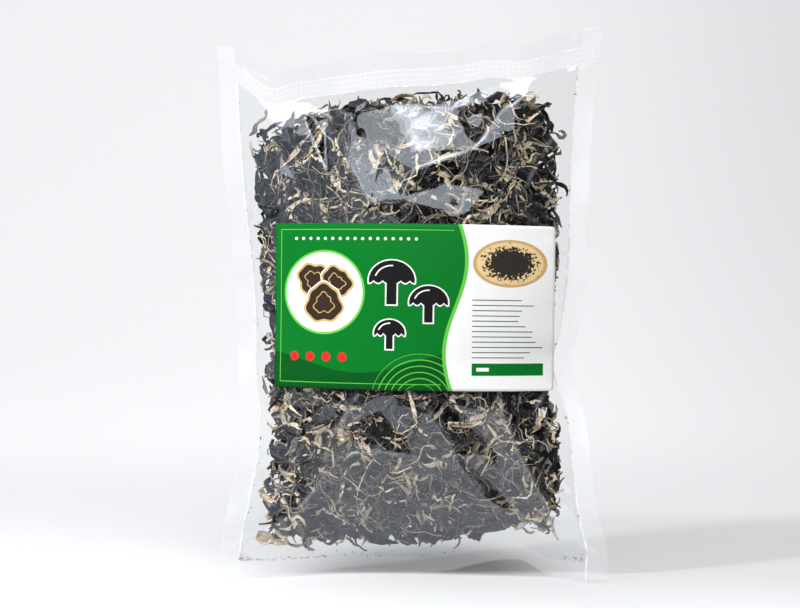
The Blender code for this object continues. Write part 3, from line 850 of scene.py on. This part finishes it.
def label_material():
    made, tree = new_material("printed label")
    value, paint = partial(value_in, tree), partial(paint_in, tree)
    minus, times = partial(value, "SUBTRACT"), partial(value, "MULTIPLY")

    # The UV map is in millimetres from the label's middle, as all sizes of the print are.
    flat = node_in(tree, "UVMap", uv_map="print")["UV"]
    x, y = parts_in(tree, flat)

    def under(field, edge=0.0):
        """1 where the field is below the edge, with a step a quarter of a millimetre soft."""
        return ramp_in(tree, field, edge - 0.12, edge + 0.12, 1.0, 0.0, "LINEAR")

    def away(cx, cy, squash=1.0):
        """Distance from a centre, or from it in an oval that is squashed upright."""
        dx, dy = minus(x, cx), times(minus(y, cy), squash)
        return value("SQRT", value("MULTIPLY_ADD", dx, dx, times(dy, dy)))

    def beside(field, half_width):
        """Below 0 within half_width of where the field is 0."""
        return minus(value("ABSOLUTE", field), half_width)

    def in_step(place, pitch):
        """Distance from the middle of the step that the place is in, of many steps one pitch long."""
        share = minus(value("FRACT", value("DIVIDE", place, pitch)), 0.5)
        return times(share, pitch)

    def box(cx, cy, half_x, half_y):
        dx = beside(minus(x, cx), half_x)
        return under(value("MAXIMUM", dx, beside(minus(y, cy), half_y)))

    # The product of two masks is 1 where both are.
    both = times
    white = (0.77, 0.78, 0.76, 1)
    green = (0.0008, 0.150, 0.016, 1)
    deep_green = (0.0008, 0.080, 0.010, 1)
    leaf = (0.120, 0.48, 0.060, 1)
    black = (0.010, 0.010, 0.010, 1)
    grey = (0.10, 0.10, 0.10, 1)
    red = (0.62, 0.022, 0.018, 1)
    tan = (0.52, 0.34, 0.13, 1)
    brown = (0.035, 0.022, 0.014, 1)
    straw = (0.70, 0.52, 0.27, 1)
    soot = (0.030, 0.026, 0.022, 1)

    # The green field reaches from the left edge to a double curve, with a darker hill at its foot.
    curve = times(value("SINE", times(y, 0.052)), 7.0)
    edge = minus(minus(x, 27.0), curve)
    colour = paint(white, under(edge, 2.4), leaf)
    colour = paint(colour, under(edge), green)
    hill = minus(y, value("MULTIPLY_ADD", value("SINE", times(x, 0.045)), 7.0, -36.0))
    colour = paint(colour, both(under(edge), under(hill)), deep_green)

    # Fine rings rise from the lower edge.
    from_rings, smallest, largest = away(6.0, -62.0), 12.0, 32.0
    rings = under(minus(1.68, value("ABSOLUTE", in_step(from_rings, 4.0))))
    inside = both(under(from_rings, largest), under(minus(smallest, from_rings)))
    colour = paint(colour, both(both(inside, under(edge)), rings), leaf)

    # A fine line runs inside the green field, with a row of dots at its top.
    frame_y = beside(minus(value("ABSOLUTE", y), 50.0), 0.30)
    frame_x = beside(value("ADD", x, 88.0), 0.30)
    within = value("MAXIMUM", beside(y, 50.2), minus(-88.2, x))
    within = value("MAXIMUM", within, value("ADD", edge, 4.0))
    colour = paint(colour, both(under(value("MINIMUM", frame_x, frame_y)), under(within)), leaf)
    along = in_step(x, 5.0)
    dot = value("SQRT", value("MULTIPLY_ADD", along, along, value("POWER", minus(y, 44.0), 2.0)))
    colour = paint(colour, both(under(dot, 1.0), box(-37.5, 44.0, 42.5, 2.0)), white)

    # A white disc holds three frilled lobes with tan rims.
    disc = away(-58.0, 9.0)
    colour = paint(colour, under(disc, 27.5), leaf)
    colour = paint(colour, under(disc, 26.0), white)
    lobes = (-65.0, 17.0, 11.5, 0.4), (-50.0, 15.0, 11.0, 1.9), (-58.0, 1.5, 13.0, 3.0)
    for cx, cy, radius, turned in lobes:
        angle = value("ARCTAN2", minus(y, cy), minus(x, cx))
        frill = value("MULTIPLY_ADD", value("SINE", value("MULTIPLY_ADD", angle, 7.0, turned)), 0.55, radius)
        frill = value("MULTIPLY_ADD", value("SINE", value("MULTIPLY_ADD", angle, 3.0, turned)), 1.0, frill)
        lobe = minus(away(cx, cy), frill)
        colour = paint(colour, under(lobe, 0.7), white)
        colour = paint(colour, under(lobe), tan)
        colour = paint(colour, under(lobe, -1.5), brown)
        colour = paint(colour, under(beside(value("ADD", lobe, radius * 0.52), 0.35)), tan)

    # Three bold mushrooms stand in the middle.
    for cx, cy, radius in ((-13, 17, 15.0), (11, 3, 12.5), (-14, -17, 10.0)):
        for spread, ink in ((0.9, white), (0.0, black)):
            scallop = value("SINE", times(minus(x, cx), 8.0 / radius))
            scallop = times(value("ABSOLUTE", scallop), -1.6)
            hem = minus(value("ADD", scallop, cy - spread), y)
            cap = value("MAXIMUM", minus(away(cx, cy, 1.15), radius + spread), hem)
            stem = box(cx, cy - radius * 0.48, radius * 0.22 + spread, radius * 0.55 + spread)
            colour = paint(colour, stem, ink)
            colour = paint(colour, under(cap), ink)
        shine = under(beside(minus(away(cx, cy, 1.15), radius * 0.74), 0.45))
        shoulder = box(cx - radius * 0.35, cy + radius * 0.5, radius * 0.4, radius * 0.3)
        colour = paint(colour, both(shine, shoulder), white)

    # Red dots, and on the white end an oval dish, plain ruled lines and a bar.
    for number in range(4):
        colour = paint(colour, under(away(-78.0 + 11.0 * number, -33.0), 3.0), red)
    dish = away(63.0, 29.0, 1.55)
    colour = paint(colour, under(dish, 24.0), tan)
    colour = paint(colour, under(dish, 21.5), straw)
    heap = minus(dish, times(noise_in(tree, flat, 0.55, 3.0), 32.0))
    colour = paint(colour, under(heap), soot)
    line_pitch = 3.4
    row = value("FLOOR", value("DIVIDE", y, line_pitch))
    ends = node_in(tree, "TexWhiteNoise", {"W": row}, noise_dimensions="1D")["Value"]
    short = under(minus(x, value("MULTIPLY_ADD", ends, 18.0, 68.0)))
    lines = both(both(under(beside(in_step(y, line_pitch), 0.34)), short), box(62.0, -13.6, 23.0, 20.4))
    colour = paint(colour, lines, grey)
    colour = paint(colour, box(62.0, -40.0, 23.0, 4.0), green)
    colour = paint(colour, box(46.0, -40.0, 4.0, 1.2), white)
    feed_shader(tree, {"Base Color": colour, "Roughness": 0.45, "Specular IOR Level": 0.12})
    return made


printed_label = label_material()
paper_thickness, paper_corner, corner_lift = 0.00015, 0.0025, 0.0014


def make_label():
    bm = bmesh.new()
    bmesh.ops.create_grid(bm, x_segments=92, y_segments=54, size=0.5)
    shares = np.array([vert.co[:2] for vert in bm.verts])
    over, up = shares[:, 0] * label_width, shares[:, 1] * label_height
    over, up = rounded(over, up, label_width / 2, label_height / 2, paper_corner)
    x = label_centre[0] + over * math.cos(label_turn) + up * math.sin(label_turn)
    z = label_centre[1] - over * math.sin(label_turn) + up * math.cos(label_turn)
    lift = corner_lift * eased((shares[:, 0] - shares[:, 1] - 0.75) / 0.25)
    y = web_at("front", *flat_of(x, z)) - film_thickness - film_room - lift
    spots = np.column_stack((x, y, z)) + pouch_shift
    layer = bm.loops.layers.uv.new("print")
    for vert, spot, a, b in zip(bm.verts, spots, over * 1000, up * 1000):
        vert.co = spot
        for loop in vert.link_loops:
            loop[layer].uv = (a, b)
    label = put(mesh_of(bm, "printed_label"), printed_label)
    solid = label.modifiers.new("Paper", "SOLIDIFY")
    solid.thickness = paper_thickness
    solid.offset = 1.0
    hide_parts("label")
    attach(label, "root")


make_label()


# The studio
# The pouch stands on a white sweep, one sheet that curves up behind it, which glows and carries painted
# shadows. A hard lamp on the left throws the real shadow, and the film mirrors the soft boxes above and
# beside the camera and a painted reflection on the floor.


def make_sweep():
    made, tree = new_material("white sweep")
    value, ramp = partial(value_in, tree), partial(ramp_in, tree)
    place = node_in(tree, "TexCoord")["Object"]
    x, y = parts_in(tree, place)
    rays = node_in(tree, "LightPath")

    def blend(share, first, second):
        """Mixes two tones. A bare number is a tone of the sweep's own cool white."""
        tones = (
            (given * 0.990, given * 0.998, given * 1.012, 1) if isinstance(given, float) else given
            for given in (first, second)
        )
        return mix_in(tree, share, *tones)

    def away(scale, shift):
        """Distance from the middle of an oval, 1 being its edge."""
        squashed = {0: place, 1: scale, 2: shift}
        squashed = node_in(tree, "VectorMath", squashed, operation="MULTIPLY_ADD")[0]
        return node_in(tree, "VectorMath", {0: squashed}, operation="LENGTH")["Value"]

    # It glows with painted light: dimmer at its front edge and far to the right, with a painted shadow cast
    # to the right and painted contact shade right behind the seam.
    front, deep, right = ramp(y, -0.42, -0.16), ramp(y, 0.0, 1.5), ramp(x, -0.2, 0.9)
    # Painted contact shade right behind the bottom seam, in an oval a little right of the middle; clear is 1
    # outside it.
    behind = ramp(value("MULTIPLY_ADD", value("MULTIPLY", x, x), 2.25, y), 0.008, 0.034)
    under = value("SUBTRACT", behind, ramp(away((13.0, 7.5, 0.0), (-0.13, -0.28, 0.0)), 0.2, 1.7))
    under.node.use_clamp = True
    clear = ramp(under, 1.0, 0.0)
    # Painted shadow cast to the right of the pouch.
    out_of_painted_shadow = ramp(away((4.2, 4.6, 0.0), (-0.66, -0.74, 0.0)), 0.7, 1.35)
    near, far = blend(clear, 0.03, 0.19), blend(right, 0.51, 0.32)
    direct = blend(deep, blend(front, 0.0, near), far)

    def fading(middle, edge):
        """The middle tone near the pouch, and another one far to its front and sides."""
        middle = blend(ramp(x, 1.1, 2.6), blend(ramp(x, -1.1, -2.6), middle, edge), edge)
        return blend(ramp(y, -0.4, -1.9), middle, edge)

    # Glossy rays see a painted reflection in place of the floor: a bright strip before the pouch, dim floor
    # to the left and a dark room elsewhere. This is what the film mirrors.
    strip = blend(ramp(x, -0.13, -0.10), 0.40, blend(ramp(x, 0.100, 0.112), 0.80, 0.015))
    mirrored = blend(ramp(y, -0.36, -0.32), 0.015, blend(ramp(y, 0.30, 0.60), strip, 0.06))
    glow = blend(rays["Is Glossy Ray"], direct, mirrored)
    glow = blend(rays["Is Camera Ray"], glow, fading(blend(deep, near, far), 0.80))
    open_floor = blend(clear, 0.25, blend(out_of_painted_shadow, 0.495, 0.565))
    matt = blend(rays["Is Glossy Ray"], blend(front, 0.12, open_floor), 0.02)
    matt = blend(rays["Is Camera Ray"], matt, fading(open_floor, 0.05))
    feed_shader(tree, {
        "Base Color": matt,
        "Roughness": 1.0,
        "Specular IOR Level": 0.0,
        "Emission Color": glow,
        "Emission Strength": 1.0,
    })

    bm = bmesh.new()
    bmesh.ops.create_grid(bm, x_segments=1, y_segments=144, size=0.5)
    width, length, flat_length, radius, to_front = 18.0, 14.4, 10.2, 1.1, 9.02
    for vert in bm.verts:
        run = (vert.co.y + 0.5) * length
        bend = min(max(run - flat_length, 0) / radius, math.pi / 2)
        wall = max(run - flat_length - radius * math.pi / 2, 0)
        vert.co = (
            vert.co.x * width,
            min(run, flat_length) - to_front + radius * math.sin(bend),
            radius * (1 - math.cos(bend)) + wall,
        )
    sweep = put(mesh_of(bm, "sweep"), made)


make_sweep()


def add_light(name, place, aim, size, energy, colour=(1, 1, 1)):
    lamp = bpy.data.lights.new(name, "AREA")
    lamp.shape = "RECTANGLE"
    lamp.size, lamp.size_y = size
    lamp.energy = energy
    lamp.color = colour
    made = bpy.data.objects.new(name, lamp)
    made.location = place
    made.rotation_euler = (Vector(aim) - Vector(place)).to_track_quat("-Z", "Y").to_euler()
    bpy.context.scene.collection.objects.link(made)
    return made


hard_lamp = add_light("hard_lamp", (-0.61, -0.49, 0.65), (0, 0, 0.15), (0.07, 0.07), 6.5)
hard_lamp.visible_glossy = False
add_light("soft_box_above", (0.06, -1.05, 1.16), (0, 0, 0.2), (1.15, 1.20), 8.6, (0.97, 0.985, 1.0))
add_light("soft_box_left", (-1.02, -0.92, 0.74), (0, 0, 0.25), (2.3, 1.5), 5.4, (0.82, 0.90, 1.0))
for wide, power in ((0.28, 1.0), (0.40, 1.2), (0.56, 1.4)):
    add_light("soft_box_core", (0.20, -0.80, 1.22), (0.03, 0, 0.29), (wide, wide * 0.76), power)
fill_lamp = add_light("fill_lamp", (0.55, -1.30, 0.90), (0, 0, 0.2), (0.9, 0.9), 6.0, (1.0, 0.98, 0.95))
fill_lamp.visible_glossy = False
back_lamp = add_light("back_lamp", (-0.50, 0.95, 1.00), (0, 0, 0.2), (0.9, 0.9), 2.5)
back_lamp.visible_glossy = False

# The room is white where it is seen, gives soft light to matt surfaces and is dark in reflections.
world = bpy.data.worlds.new("studio")
bpy.context.scene.world = world
world.use_nodes = True
room = world.node_tree
background = room.nodes["Background"]
background.inputs["Color"].default_value = (0.97, 0.985, 1.0, 1)
rays = node_in(room, "LightPath")
soft = value_in(room, "MULTIPLY_ADD", rays["Is Diffuse Ray"], 0.42, 0.015)
seen = value_in(room, "MULTIPLY_ADD", rays["Is Camera Ray"], 0.825, soft)
room.links.new(seen, background.inputs["Strength"])

camera = bpy.data.cameras.new("camera")
distance, turned, seen_width = 1.25, math.radians(4.5), 0.532
camera.sensor_width = 36.0
camera.lens = camera.sensor_width * distance / seen_width
viewer = bpy.data.objects.new("camera", camera)
aim = Vector((-0.006, 0.0, 0.182))
viewer.location = aim + Vector((math.sin(turned) * distance, -math.cos(turned) * distance, 0.0))
viewer.rotation_euler = (aim - viewer.location).to_track_quat("-Z", "Y").to_euler()
bpy.context.scene.collection.objects.link(viewer)
bpy.context.scene.camera = viewer
bpy.context.scene.view_settings.view_transform = "Standard"
bpy.context.scene.cycles.transparent_max_bounces = 20
bpy.context.scene.cycles.max_bounces = 6
